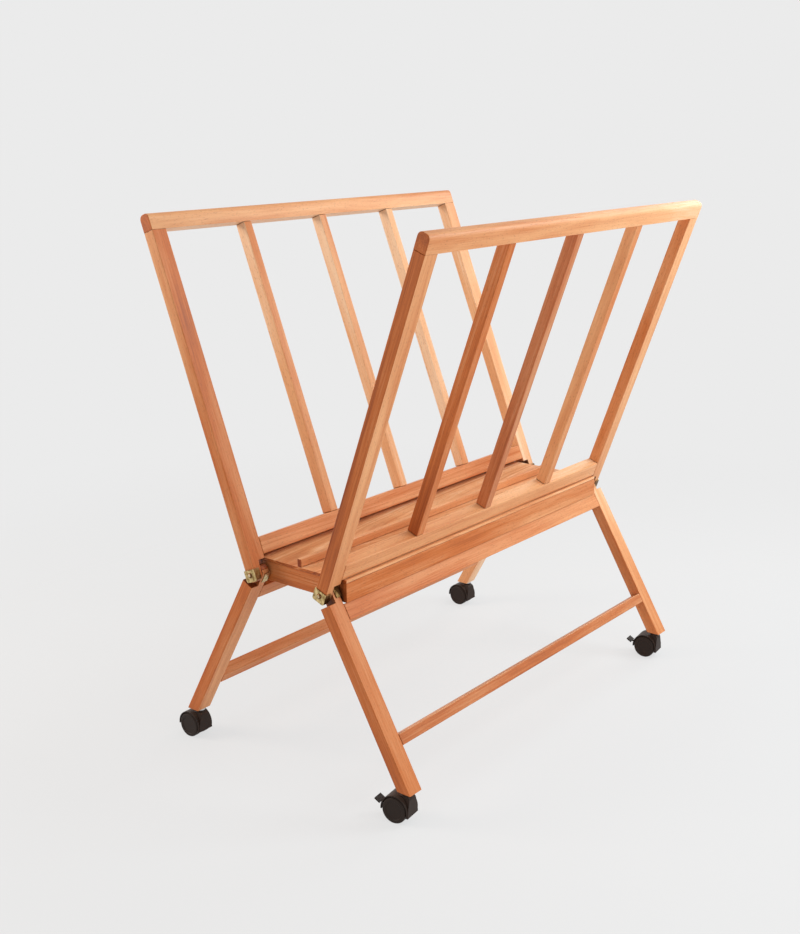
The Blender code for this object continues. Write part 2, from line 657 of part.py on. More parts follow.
def make_castor(name, side, end, braked):
    """A twin-wheel castor: a hood with a nose and stub axles, two wheels, and a brake lever on some."""
    holder = empty(name + "_swivel", stem_place(side, end), (0.0, 0.0, math.radians(CASTOR_TURNS[side])))
    centre = Vector((-TRAIL, 0.0, WHEEL_RADIUS - CASTOR_HEIGHT))
    hub = (centre.x, centre.z)
    inside = WHEEL_RADIUS + HOOD_GAP
    outside = inside + HOOD_THICKNESS
    wheel_start = WEB_WIDTH / 2 + WHEEL_SIDE_GAP
    wheel_stop = wheel_start + WHEEL_WIDTH
    hood_half = wheel_stop - HOOD_INSET
    brim = outside - SMALL_EASE
    core = (inside + brim) / 2
    high = 180 + HOOD_LAP_ANGLE
    square = outside - HOOD_CORNER
    nose = [(hub[0] + outside, hub[1] - HOOD_FRONT_DROP)]
    nose += arc((hub[0] + square, hub[1] + square), HOOD_CORNER, 0, 90, CORNER_STEPS)
    nose += arc(hub, core, 90, below_level(core, HOOD_FRONT_DROP))
    blank = prism(nose, -wheel_stop, wheel_stop)
    hood = place_part(name + "_hood", finish_mesh(name + "_hood", blank, True), BLACK_NYLON, holder)
    room = finish_mesh(name + "_nose_room", nose_room(hood_half - SMALL_EASE, outside), True)
    shape(hood, place_cutter(name + "_nose_room", room, holder, centre), "INTERSECT")
    rim_drop = HOOD_FRONT_DROP - SMALL_EASE
    rim = arc(hub, brim, below_level(brim, rim_drop), high, 2 * ARC_STEPS)
    rim += arc(hub, inside, high, below_level(inside, rim_drop), 2 * ARC_STEPS)
    rim_form = prism(rim, -hood_half, hood_half)
    web = arc(hub, core, HOOD_LAP_ANGLE, 180 - HOOD_LAP_ANGLE, 2 * ARC_STEPS)
    web += arc(hub, WEB_HUB_RADIUS, 180, 360)
    web_form = prism(web, -WEB_WIDTH / 2, WEB_WIDTH / 2)
    boss_top = -2 * FIT - COLLAR_THICKNESS
    boss = upright(centre.z + outside - BOSS_SINK, boss_top + COLLAR_THICKNESS / 2, BOSS_RADIUS)
    axle_length = 2 * (wheel_stop - WHEEL_FACE - FIT)
    axle = rod(centre, AXLE_RADIUS, axle_length, "Y")
    for suffix, form in {"_rim": rim_form, "_web": web_form, "_boss": boss, "_axle": axle}.items():
        join(hood, place_cutter(name + suffix, finish_mesh(name + suffix, form), holder))
    collar_room = upright(boss_top, CUT_OVER, COLLAR_RADIUS + FIT)
    stem_hole = upright(boss_top - STEM_IN_HOOD, CUT_OVER, STEM_RADIUS + FIT)
    for suffix, form in {"_collar_room": collar_room, "_stem_hole": stem_hole}.items():
        cut(hood, place_cutter(name + suffix, finish_mesh(name + suffix, form), holder))
    for face_name, face in ENDS.items():
        spot = centre + Vector((0.0, face * wheel_start, 0.0))
        wheel_name = name + "_wheel_" + face_name
        form = turned(wheel_profile(), ROUND_STEPS)
        place_part(wheel_name, finish_mesh(wheel_name, form, True), BLACK_NYLON, holder, spot,
                   (facing(face), 0.0, 0.0))
    if braked:
        make_brake(name + "_brake", holder, centre, hood)


# Assembly
pivot_bores = []
for side_label, side_sign in SIDES.items():
    pivot = Vector((side_sign * PIVOT_SPACING / 2, 0.0, PIVOT_HEIGHT))
    bore_form = rod(pivot, PIN_RADIUS + FIT, LENGTH + CUT_OVER, "Y")
    bore_name = side_label + "_pivot_bore"
    pivot_bore = place_cutter(bore_name, finish_mesh(bore_name, bore_form))
    pivot_bores.append(pivot_bore)
    panel_holder = empty(side_label + "_panel_pivot", pivot, (0.0, side_sign * LEAN_ANGLE, 0.0))
    make_panel(side_label, side_sign, panel_holder, pivot_bore)
    leg_holder = empty(side_label + "_leg_pivot", pivot, (0.0, -side_sign * SPLAY_ANGLE, 0.0))
    make_leg_frame(side_label, side_sign, leg_holder, pivot_bore)
    for end_label, end_sign in ENDS.items():
        make_castor(f"castor_{side_label}_{end_label}", side_sign, end_sign, side_sign == RIGHT)
make_tray(pivot_bores)
make_pivot_pins()
bpy.context.view_layer.update()
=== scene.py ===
# %% [markdown]
# # A folding print rack in oiled beech
# Two slatted panels lean outwards over a shallow tray, and two leg frames on castors splay out below
# it. The CAD model gives every board, clip and wheel its shape and place, so this lesson only dresses
# it: wood with the grain running along each board, brass-plated clips, moulded nylon castors, a pale
# floor and studio light.

# %% Load the frame
import json
import math

import bmesh
import bpy
from mathutils import Euler, Matrix, Vector


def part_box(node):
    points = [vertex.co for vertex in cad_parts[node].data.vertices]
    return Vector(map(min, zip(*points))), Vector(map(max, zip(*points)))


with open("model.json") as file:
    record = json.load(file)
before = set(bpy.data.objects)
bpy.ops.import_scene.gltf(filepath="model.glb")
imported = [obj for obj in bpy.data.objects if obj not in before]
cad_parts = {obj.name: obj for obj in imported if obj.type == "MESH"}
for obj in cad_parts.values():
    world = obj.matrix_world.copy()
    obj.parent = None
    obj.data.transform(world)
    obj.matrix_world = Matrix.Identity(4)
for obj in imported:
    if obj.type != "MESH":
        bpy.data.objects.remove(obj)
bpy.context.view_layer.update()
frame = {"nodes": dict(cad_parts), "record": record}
pieces = frame["nodes"]

# %% [markdown]
# ## Small tools
# Colours are picked as sRGB hex values, the way a paint chart gives them, but a shader works in linear
# light, so one function makes that change. A second one adds a node, sets its values and links its
# inputs, so that each material below reads as a list of what it is made of. Small sizes are written in
# millimetres, as on a drawing.

# %% Colour and node tools
MM = 0.001


def linear(hex_colour):
    """Linear RGBA of an sRGB hex colour."""
    values = [int(hex_colour[start:start + 2], 16) / 255 for start in (1, 3, 5)]
    light = [value / 12.92 if value <= 0.04045 else ((value + 0.055) / 1.055) ** 2.4 for value in values]
    return (*light, 1.0)


def add_node(tree, kind, settings=None, **inputs):
    """A node with its settings; an input is a value, or an output socket to link."""
    node = tree.nodes.new(kind)
    for name, value in (settings or {}).items():
        setattr(node, name, value)
    for name, value in inputs.items():
        key = int(name[1:]) if name[0] == "i" and name[1:].isdigit() else name.replace("_", " ")
        socket = node.inputs[key]
        if isinstance(value, bpy.types.NodeSocket):
            tree.links.new(value, socket)
        else:
            socket.default_value = value
    return node


def new_material(name):
    """A material with only a shader in it, its node tree and that shader."""
    material = bpy.data.materials.new(name)
    material.use_nodes = True
    tree = material.node_tree
    tree.nodes.clear()
    shader = add_node(tree, "ShaderNodeBsdfPrincipled")
    add_node(tree, "ShaderNodeOutputMaterial", Surface=shader.outputs["BSDF"])
    return material, tree, shader


def dress(name, material):
    """Give a piece one material."""
    slots = pieces[name].data.materials
    slots.clear()
    slots.append(material)


print("mid grey is", [round(value, 3) for value in linear("#808080")])

# %% [markdown]
# ## Camera
# The camera's place, angle and lens were worked out from the rack's own corners. The photograph is
# cropped off-centre. Turning the camera would frame it too, but the uprights would then lean, so the
# sensor is shifted a little instead.

# %% Place the camera
IMAGE_WIDTH = 800
IMAGE_MIDDLE = (400.0, 467.0)
PRINCIPAL = (480.04, 383.43)
FOCAL_PIXELS = 1275.57
SENSOR_MM = 36.0
CAMERA_PLACE = (1.47978, -1.83782, 1.12176)
CAMERA_YAW = math.radians(36.982)
CAMERA_PITCH = math.radians(11.827)
CAMERA_ROLL = math.radians(-0.270)
FARTHEST_SEEN = 50.0

lens = bpy.data.cameras.new("camera")
lens.sensor_fit = "HORIZONTAL"
lens.sensor_width = SENSOR_MM
lens.lens = FOCAL_PIXELS * SENSOR_MM / IMAGE_WIDTH
lens.shift_x = (IMAGE_MIDDLE[0] - PRINCIPAL[0]) / IMAGE_WIDTH
lens.shift_y = (PRINCIPAL[1] - IMAGE_MIDDLE[1]) / IMAGE_WIDTH
lens.clip_end = FARTHEST_SEEN
camera = bpy.data.objects.new("camera", lens)
bpy.context.scene.collection.objects.link(camera)
heading = Matrix.Rotation(CAMERA_YAW, 4, "Z")
upright = Matrix.Rotation(math.pi / 2 - CAMERA_PITCH, 4, "X")
turn = heading @ upright @ Matrix.Rotation(CAMERA_ROLL, 4, "Z")
camera.matrix_world = Matrix.Translation(CAMERA_PLACE) @ turn
bpy.context.scene.camera = camera
print("lens", round(lens.lens, 2), "mm, shift", round(lens.shift_x, 4), round(lens.shift_y, 4))

# %% [markdown]
# ## Oiled beech: a place in the log
# Beech is a fine, even wood that oil turns orange. Three things show at arm's length: growth rings,
# which a flat face cuts into long streaks or arches, slow changes of tone along a board, and short dark
# flecks. The rings could be a wave texture laid on each face, but then they wouldn't meet at the edges.
# Here they are shells round a centre line beside the board, so every face cuts the same log.

# %% Coordinates of the log
LOG_STEP = 2.3


def box_middle(name):
    """The middle of a piece's box."""
    low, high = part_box(name)
    return (Vector(low) + Vector(high)) / 2


def log_place(tree, spot, board_name, turn_degrees, centre_mm, seed):
    """Coordinates of the log: its length is Z, and its centre line lies beside the board."""
    angles = [math.radians(value) for value in turn_degrees]
    middle = Euler(angles).to_matrix() @ box_middle(board_name)
    shift = (centre_mm[0] * MM - middle.x, centre_mm[1] * MM - middle.y, LOG_STEP * seed)
    return add_node(tree, "ShaderNodeMapping", Vector=spot.outputs["Object"], Rotation=angles,
                    Location=shift).outputs[0]


def scaled(tree, place, size_mm):
    """Coordinates in which a pattern of this size, across and along the log, is one unit wide and long."""
    across, along = size_mm
    scale = (1 / (across * MM), 1 / (across * MM), 1 / (along * MM))
    return add_node(tree, "ShaderNodeVectorMath", {"operation": "MULTIPLY"}, i0=place, i1=scale).outputs[0]


print("each board lies", LOG_STEP, "m further along the log")

# %% [markdown]
# ## Oiled beech: rings, slow tone and fibres
# The wood's colour is a walk along one ramp, from dark to pale, and a point's level says where on it
# the point lies. The level starts from a tone. Three noises then change it: rings, which follow the
# distance from the log's centre line, a slow change along the board, and fibres. A wave would draw the
# rings too, but evenly, and a tree never grows so.

# %% Pattern of the wood
RING_MM = 4.5
RING_WANDER = 16 * MM
# Sizes across and along the grain, in millimetres.
WANDER_SIZE = (45, 330)
SLOW_SIZE = (28, 240)
# Real fibre lines are a tenth of this wide, too fine to show from here.
FIBRE_SIZE = (1.8, 60)
# How much of the ramp each pattern can move a point along.
RING_SHARE = 0.32
SLOW_SHARE = 0.42
FIBRE_SHARE = 0.28


def wood_level(tree, place, tone, ring_share):
    """The level of a tone with the three patterns added, and the slow and fibre patterns by themselves."""
    wander = add_node(tree, "ShaderNodeTexNoise", Vector=scaled(tree, place, WANDER_SIZE), Scale=1.0,
                      Detail=1.5)
    bent = add_node(tree, "ShaderNodeVectorMath", {"operation": "MULTIPLY_ADD"}, i0=wander.outputs["Color"],
                    i1=(RING_WANDER, RING_WANDER, 0.0), i2=place)
    across = add_node(tree, "ShaderNodeVectorMath", {"operation": "MULTIPLY"}, i0=bent.outputs[0],
                      i1=(1.0, 1.0, 0.0))
    radius = add_node(tree, "ShaderNodeVectorMath", {"operation": "LENGTH"}, i0=across.outputs[0])
    shell = add_node(tree, "ShaderNodeMath", {"operation": "DIVIDE"}, i0=radius.outputs["Value"],
                     i1=RING_MM * MM)
    split = add_node(tree, "ShaderNodeSeparateXYZ", Vector=place)
    shell_place = add_node(tree, "ShaderNodeCombineXYZ", X=shell.outputs[0], Z=split.outputs["Z"])
    rings = add_node(tree, "ShaderNodeTexNoise", Vector=shell_place.outputs[0], Scale=1.0, Detail=2.0)
    slow = add_node(tree, "ShaderNodeTexNoise", Vector=scaled(tree, place, SLOW_SIZE), Scale=1.0,
                    Detail=2.0)
    fibre = add_node(tree, "ShaderNodeTexNoise", Vector=scaled(tree, place, FIBRE_SIZE), Scale=1.0,
                     Detail=2.0)
    level = add_node(tree, "ShaderNodeMath", {"operation": "SUBTRACT"}, i0=tone,
                     i1=(ring_share + SLOW_SHARE + FIBRE_SHARE) / 2)
    for pattern, share in ((rings, ring_share), (slow, SLOW_SHARE), (fibre, FIBRE_SHARE)):
        level = add_node(tree, "ShaderNodeMath", {"operation": "MULTIPLY_ADD"}, i0=pattern.outputs["Fac"],
                         i1=share, i2=level.outputs[0])
    return level.outputs[0], slow.outputs["Fac"], fibre.outputs["Fac"]


print("rings", RING_MM, "mm apart, fibres", FIBRE_SIZE[0], "mm wide")

# %% [markdown]
# ## Oiled beech: how pale each board is
# A maker sorts boards by tone only roughly, so some are deep and some pale. Each board also has a tone
# for its broad faces and one for the faces that look along the rack. The difference between the two is
# painted light and shade: a lit face gets a paler tone, a face in shade a deeper one. One tone for all
# would be less work, but no real rack is cut from a single plank.

# %% Tones of the boards
DEEP = 0.42
WARM = 0.58
PALE = 0.74
PALEST = 0.87
# The tones of the broad faces and of the faces that look along the rack; their difference is painted
# light and shade.
BOARD_TONES = {
    "right_post_near": (PALE - 0.08, DEEP - 0.04), "right_post_far": (PALE, WARM),
    "right_slat_1": (DEEP + 0.06, DEEP), "right_slat_2": (DEEP + 0.08, DEEP),
    "right_slat_3": (WARM, PALE - 0.03),
    "right_top_rail": (PALE, DEEP), "right_bottom_rail": (PALE - 0.03, WARM),
    "right_leg_near": (WARM - 0.12, DEEP), "right_leg_far": (PALE - 0.03, DEEP + 0.08),
    "right_leg_rail": (WARM - 0.04, WARM), "right_stretcher": (DEEP + 0.06, DEEP),
    "left_post_near": (WARM - 0.1, WARM + 0.02), "left_post_far": (PALE + 0.06, PALE + 0.06),
    "left_slat_1": (WARM + 0.03, PALE + 0.06), "left_slat_2": (WARM + 0.14, PALEST),
    "left_slat_3": (PALE, PALEST + 0.08),
    "left_top_rail": (PALE - 0.03, DEEP), "left_bottom_rail": (WARM, WARM),
    "left_leg_near": (PALE - 0.09, DEEP + 0.02), "left_leg_far": (PALE + 0.14, PALE - 0.04),
    "left_leg_rail": (WARM - 0.04, WARM), "left_stretcher": (DEEP + 0.14, DEEP),
    "tray_apron_left": (DEEP + 0.1, DEEP), "tray_apron_right": (DEEP + 0.1, DEEP),
    "tray_end_near": (WARM, DEEP + 0.06), "tray_end_far": (WARM, DEEP + 0.06),
    "tray_floor": (PALE - 0.02, DEEP), "tray_rib": (PALE, DEEP),
}
# How much paler the upper or far end of a board is than its middle, on the same two kinds of face:
# painted light that falls off along the board.
BOARD_DRIFTS = {
    "right_post_near": (0.0, -0.04), "right_post_far": (0.04, 0.0), "right_slat_1": (0.0, 0.08),
    "right_slat_2": (0.0, 0.05), "right_top_rail": (0.1, 0.0), "right_bottom_rail": (0.07, 0.0),
    "right_leg_far": (0.15, 0.03), "right_leg_rail": (0.04, 0.0), "right_stretcher": (0.04, 0.0),
    "left_post_near": (0.0, 0.1), "left_post_far": (-0.13, 0.07), "left_slat_1": (-0.08, 0.15),
    "left_slat_2": (-0.1, 0.11), "left_slat_3": (0.09, 0.09), "left_top_rail": (-0.04, 0.0),
    "tray_apron_right": (0.06, 0.0), "tray_floor": (0.04, 0.0), "tray_rib": (0.05, 0.0),
}
# Level faces with a tone of their own, painted light and shade: 1 looks up, -1 looks down. The left
# top rail's underside gets painted bounce light, the aprons' tops painted shade.
PAINTED_LEVEL_TONES = {
    "left_top_rail": (-1, 1.0), "tray_apron_left": (1, 0.26), "tray_apron_right": (1, 0.26),
    "right_stretcher": (1, 0.66), "tray_rib": (1, 0.66),
}
# End grain drinks the most oil, so it is the darkest. The stick ends, at the lap shoulders, and the
# rib's ends are darker still: painted shade.
RAIL_END_TONE = 0.36
STICK_END_TONE = 0.28
END_TONES = {"tray_rib": 0.15}
print("boards with a tone:", len(BOARD_TONES), "of which drifting:", len(BOARD_DRIFTS))

# %% [markdown]
# ## Oiled beech: the tone of a face
# Each face could have a material of its own, but that would mean changing the CAD mesh. The direction
# in which a point faces tells the faces apart just as well: along the grain it's an end, along the rack
# a side, and otherwise a broad face. The different tones of broad and side faces are painted light and
# shade.

# %% Tone at a point
ALONG_RACK = (0.0, 1.0, 0.0)
SIDE_STARTS = 0.45
END_STARTS = 0.72
FACE_FADE = 0.2
LEVEL_STARTS = 0.6
LEVEL_FULL = 0.8


def drifting_tone(tree, spot, board_name, grain, tone, drift):
    """A tone that changes evenly along the board, by the drift at each end."""
    reaches = [Vector(grain).dot(vertex.co) for vertex in pieces[board_name].data.vertices]
    along = add_node(tree, "ShaderNodeVectorMath", {"operation": "DOT_PRODUCT"}, i0=spot.outputs["Object"],
                     i1=grain)
    return add_node(tree, "ShaderNodeMapRange", Value=along.outputs["Value"], From_Min=min(reaches),
                    From_Max=max(reaches), To_Min=tone - drift, To_Max=tone + drift).outputs[0]


def face_tone(tree, spot, grain, broad, side, end):
    """The tone of the face that a point is on: broad face, side face or end grain."""
    tone = broad
    for direction, other, start in ((ALONG_RACK, side, SIDE_STARTS), (grain, end, END_STARTS)):
        along = add_node(tree, "ShaderNodeVectorMath", {"operation": "DOT_PRODUCT"},
                         i0=spot.outputs["Normal"], i1=direction)
        facing = add_node(tree, "ShaderNodeMath", {"operation": "ABSOLUTE"}, i0=along.outputs["Value"])
        share = add_node(tree, "ShaderNodeMapRange", Value=facing.outputs[0], From_Min=start,
                         From_Max=start + FACE_FADE)
        tone = add_node(tree, "ShaderNodeMix", {"data_type": "FLOAT"}, i0=share.outputs[0], i2=tone,
                        i3=other).outputs[0]
    return tone


def level_tone(tree, spot, tone, looks, other):
    """A tone with another one on the faces that look up (1) or down (-1): painted light and shade."""
    along = add_node(tree, "ShaderNodeVectorMath", {"operation": "DOT_PRODUCT"}, i0=spot.outputs["Normal"],
                     i1=(0.0, 0.0, looks))
    share = add_node(tree, "ShaderNodeMapRange", Value=along.outputs["Value"], From_Min=LEVEL_STARTS,
                     From_Max=LEVEL_FULL)
    return add_node(tree, "ShaderNodeMix", {"data_type": "FLOAT"}, i0=share.outputs[0], i2=tone,
                    i3=other).outputs[0]


def board_tone(tree, spot, board_name, grain):
    """The tone at a point of a board, before its patterns."""
    broad, side = BOARD_TONES[board_name]
    broad_drift, side_drift = BOARD_DRIFTS.get(board_name, (0.0, 0.0))
    usual_end = RAIL_END_TONE if grain == ALONG_RACK else STICK_END_TONE
    tone = face_tone(tree, spot, grain,
                     drifting_tone(tree, spot, board_name, grain, broad, broad_drift),
                     drifting_tone(tree, spot, board_name, grain, side, side_drift),
                     END_TONES.get(board_name, usual_end))
    if board_name in PAINTED_LEVEL_TONES:
        tone = level_tone(tree, spot, tone, *PAINTED_LEVEL_TONES[board_name])
    return tone


print("boards with level faces of their own tone:", sorted(PAINTED_LEVEL_TONES))

# %% [markdown]
# ## Oiled beech: painted shade in corners
# Painted shade darkens the wood where light reaches least: in a thin line along every joint, and deep
# in the laps round the pivots. It could be painted one place at a time. Ambient occlusion finds these
# places instead, because it measures how closed in a point is. Its reach is short, since a long one
# would darken whole faces, except close to the pivot pins.

# %% Painted shade in corners and laps
CORNER_REACH = 4 * MM
CORNER_OPEN_ABOVE = 0.75
DARKEST_BELOW = 0.15
SHADE_SAMPLES = 8
LAP_REACH = 30 * MM
LAP_OPEN_ABOVE = 0.9
LAP_SHADE_SHARE = 0.95
# The laps' painted shade lies this near to a pin's axis, and starts this far before the tray's end.
LAP_INSIDE = 20 * MM
LAP_OUTSIDE = 32 * MM
LAP_FADE = 8 * MM
USUAL_SHADE_SHARE = 0.6
CORNER_SHADE_SHARES = {"tray_floor": 0.25, "tray_rib": 0.1}


def painted_corner_shade(tree, most, reach=CORNER_REACH, open_above=CORNER_OPEN_ABOVE):
    """How much painted shade a point gets: most of all where pieces meet, and none in the open."""
    open_share = add_node(tree, "ShaderNodeAmbientOcclusion", {"samples": SHADE_SAMPLES}, Distance=reach)
    return add_node(tree, "ShaderNodeMapRange", Value=open_share.outputs["AO"], From_Min=DARKEST_BELOW,
                    From_Max=open_above, To_Min=most, To_Max=0.0).outputs[0]


def pivot_distance(tree, spot):
    """How far a point is from the axis of the nearest pivot pin."""
    pin = box_middle("right_pivot_pin_near")
    folded = add_node(tree, "ShaderNodeVectorMath", {"operation": "ABSOLUTE"}, i0=spot.outputs["Object"])
    flat = add_node(tree, "ShaderNodeVectorMath", {"operation": "MULTIPLY"}, i0=folded.outputs[0],
                    i1=(1.0, 0.0, 1.0))
    return add_node(tree, "ShaderNodeVectorMath", {"operation": "DISTANCE"}, i0=flat.outputs[0],
                    i1=(pin.x, 0.0, pin.z)).outputs["Value"]


def painted_lap_shade(tree, spot):
    """The painted shade deep in the laps round a pivot; none elsewhere."""
    tray_end = -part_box("tray_end_near")[0][1]
    inside = add_node(tree, "ShaderNodeMapRange", Value=pivot_distance(tree, spot), From_Min=LAP_INSIDE,
                      From_Max=LAP_OUTSIDE, To_Min=1.0, To_Max=0.0)
    split = add_node(tree, "ShaderNodeSeparateXYZ", Vector=spot.outputs["Object"])
    along = add_node(tree, "ShaderNodeMath", {"operation": "ABSOLUTE"}, i0=split.outputs["Y"])
    past_end = add_node(tree, "ShaderNodeMapRange", Value=along.outputs[0], From_Min=tray_end - LAP_FADE,
                        From_Max=tray_end)
    lap = add_node(tree, "ShaderNodeMath", {"operation": "MULTIPLY"}, i0=inside.outputs[0],
                   i1=past_end.outputs[0])
    return add_node(tree, "ShaderNodeMath", {"operation": "MULTIPLY"}, i0=lap.outputs[0],
                    i1=painted_corner_shade(tree, LAP_SHADE_SHARE, LAP_REACH, LAP_OPEN_ABOVE)).outputs[0]


def painted_board_shade(tree, spot, board_name):
    """The painted shade on a board; the boards that meet at the pivots also get the laps' painted shade."""
    shade_share = painted_corner_shade(tree, CORNER_SHADE_SHARES.get(board_name, USUAL_SHADE_SHARE))
    if any(kind in board_name for kind in ("_post_", "_leg_", "_apron_")):
        shade_share = add_node(tree, "ShaderNodeMath", {"operation": "MAXIMUM"}, i0=shade_share,
                        i1=painted_lap_shade(tree, spot)).outputs[0]
    return shade_share


print("pivot pins", round(box_middle("right_pivot_pin_near").x / MM), "mm from the middle")

# %% [markdown]
# ## Oiled beech: colour and material
# The ramp runs from end grain soaked with oil to the palest face. Two boards are of browner wood, and
# short dark flecks, the cut rays of beech, lie over everything. Oil leaves a soft shine, so the
# roughness is middling and changes slowly along the board, and the fibres give a very low relief that
# breaks up the highlights.

# %% Beech material
BEECH_RAMP = ((0.0, "#5E240C"), (0.2, "#8C3E16"), (0.44, "#C46A2F"), (0.8, "#E8AA77"), (1.0, "#F3CCA7"))
# Boards of browner wood: how full and how light their colour is, as a share of the others'.
BOARD_CASTS = {"right_slat_2": (0.955, 0.91), "right_stretcher": (0.98, 0.9)}
BEECH_FLECK = "#84431F"
# A real fleck is about 0.3 mm wide, too fine to show from here.
FLECK_SIZE = (1.2, 6)
FLECK_STARTS = 0.66
FLECK_FULL = 0.78
FLECK_SHARE = 0.35
# The colour of the painted shade in corners and laps.
CORNER_SHADE_COLOUR = "#4A1E0A"
BEECH_SHINIEST = 0.40
BEECH_DULLEST = 0.56
# Dried oil has about this IOR. The specular level is matched to the dull shine of the boards.
BEECH_IOR = 1.5
BEECH_SPECULAR = 0.3
FIBRE_RELIEF = 0.2 * MM
FIBRE_RELIEF_SHARE = 0.12
# Boards whose rings stand out more.
RING_SHARES = {"tray_floor": 0.9, "left_bottom_rail": 0.45, "left_leg_near": 0.45, "tray_end_near": 0.42}


def board_colour(tree, place, board_name, level):
    """The colour of clean wood at a level, with flecks."""
    ramp = add_node(tree, "ShaderNodeValToRGB", Fac=level)
    stops = ramp.color_ramp.elements
    while len(stops) < len(BEECH_RAMP):
        stops.new(0.5)
    for stop, (position, hex_colour) in zip(stops, BEECH_RAMP):
        stop.position = position
        stop.color = linear(hex_colour)
    colour = ramp.outputs["Color"]
    if board_name in BOARD_CASTS:
        fullness, lightness = BOARD_CASTS[board_name]
        colour = add_node(tree, "ShaderNodeHueSaturation", Color=colour, Saturation=fullness,
                          Value=lightness).outputs[0]
    fleck = add_node(tree, "ShaderNodeTexNoise", Vector=scaled(tree, place, FLECK_SIZE), Scale=1.0,
                     Detail=0.0)
    share = add_node(tree, "ShaderNodeMapRange", Value=fleck.outputs["Fac"], From_Min=FLECK_STARTS,
                     From_Max=FLECK_FULL, To_Min=0.0, To_Max=FLECK_SHARE)
    return add_node(tree, "ShaderNodeMix", {"data_type": "RGBA"}, i0=share.outputs[0], i6=colour,
                    i7=linear(BEECH_FLECK)).outputs[2]


def oiled_beech(board_name, turn_degrees, grain, centre_mm, seed):
    """Planed and oiled beech, cut from its own place in the log."""
    material, tree, shader = new_material("oiled_planed_beech_" + board_name)
    spot = add_node(tree, "ShaderNodeTexCoord")
    place = log_place(tree, spot, board_name, turn_degrees, centre_mm, seed)
    tone = board_tone(tree, spot, board_name, grain)
    level, slow, fibre = wood_level(tree, place, tone, RING_SHARES.get(board_name, RING_SHARE))
    # Painted shade is mixed over the clean wood.
    used = add_node(tree, "ShaderNodeMix", {"data_type": "RGBA"}, i0=painted_board_shade(tree, spot, board_name),
                    i6=board_colour(tree, place, board_name, level), i7=linear(CORNER_SHADE_COLOUR))
    tree.links.new(used.outputs[2], shader.inputs["Base Color"])
    polish = add_node(tree, "ShaderNodeMapRange", Value=slow, To_Min=BEECH_SHINIEST, To_Max=BEECH_DULLEST)
    tree.links.new(polish.outputs[0], shader.inputs["Roughness"])
    shader.inputs["IOR"].default_value = BEECH_IOR
    shader.inputs["Specular IOR Level"].default_value = BEECH_SPECULAR
    relief = add_node(tree, "ShaderNodeBump", Strength=FIBRE_RELIEF_SHARE, Distance=FIBRE_RELIEF,
                      Height=fibre)
    tree.links.new(relief.outputs[0], shader.inputs["Normal"])
    return material


print("beech colours:", [hex_colour for position, hex_colour in BEECH_RAMP])

# %% [markdown]
# ## Which way the grain runs
# Rails and aprons run along the rack, end boards across it, and posts, slats and legs lean with their
# panel or leg frame. A texture could be turned by eye on each board. Here the log is turned by the same
# angles at which the boards stand, so that its length lies along each of them.

# %% Dress every board
LEAN = 21.0
SPLAY = 30.0
# A log's centre line lies this far from a board's middle, turned by this many radians from board to board.
LOG_DISTANCE_MM = 95
LOG_TURN = 2.4
# Boards cut near the heart, where a flat face shows arches.
LOG_CENTRES = {"tray_floor": (14, 40), "left_bottom_rail": (12, 44), "tray_apron_right": (60, 14)}
# The tray floor is cut at a slant to its log, so the rings run out of its face in arches.
LOG_TILTS = {"tray_floor": (5.0, 0.0, 2.5)}


def grain_of(name):
    """The turn that lays the log along a board, and the board's own direction."""
    side = -1 if name.startswith("left") else 1
    if name in ("tray_end_near", "tray_end_far"):
        return (0, -90, 0), (1.0, 0.0, 0.0)
    if "_post_" in name or "_slat_" in name:
        lean = math.radians(LEAN)
        return (0, -side * LEAN, 0), (side * math.sin(lean), 0.0, math.cos(lean))
    if "_leg_near" in name or "_leg_far" in name:
        splay = math.radians(SPLAY)
        return (0, side * SPLAY, 0), (-side * math.sin(splay), 0.0, math.cos(splay))
    return (90, 0, 0), ALONG_RACK


subparts = frame["record"]["subparts"]
wooden = sorted(item["node"] for item in subparts if item["material_slot"].startswith("beech"))
for number, name in enumerate(wooden):
    turn_degrees, grain = grain_of(name)
    tilts = LOG_TILTS.get(name, (0.0, 0.0, 0.0))
    turn_degrees = [angle + tilt for angle, tilt in zip(turn_degrees, tilts)]
    around = LOG_TURN * number
    usual_centre = (LOG_DISTANCE_MM * math.cos(around), LOG_DISTANCE_MM * math.sin(around))
    centre_mm = LOG_CENTRES.get(name, usual_centre)
    dress(name, oiled_beech(name, turn_degrees, grain, centre_mm, number + 1))
print("boards dressed:", len(wooden))

# %% [markdown]
# ## Plated steel
# The clips and pins are pressed steel with a thin, dull brass plating. It's a metal, so its colour is
# its reflection, a greenish gold, and rubbing changes how sharply it shines. One brass could serve for
# all of them, but every finish gets painted shade in its corners, and some copies get more painted
# light and shade: painted shade on the sides of the post clips, a painted dark reflection round the
# rims of the pins, a darker copy with the laps' painted shade for the leg clips in the right-hand laps,
# and a paler copy without painted side shade for those on the left. The painted shades are functions
# that say where the dark lies. The castor stems are plated with zinc, which is paler and greyer.

# %% Plated metal
# The colour of every painted shade and painted reflection on the plated metal.
METAL_PAINTED_SHADE = "#643A16"
SIDE_SHADE_STARTS = 0.5
SIDE_SHADE_FULL = 0.8
SIDE_SHADE_SHARE = 0.8
# How far from a pin's axis the painted dark reflection starts and where it is full.
RIM_INSIDE = 2 * MM
RIM_OUTSIDE = 3 * MM
RIM_REFLECTION_SHARE = 0.95
RUB_SIZE = 6 * MM
RUB_STARTS = 0.32
RUB_FULL = 0.64
METAL_SHADE_SHARE = 0.85


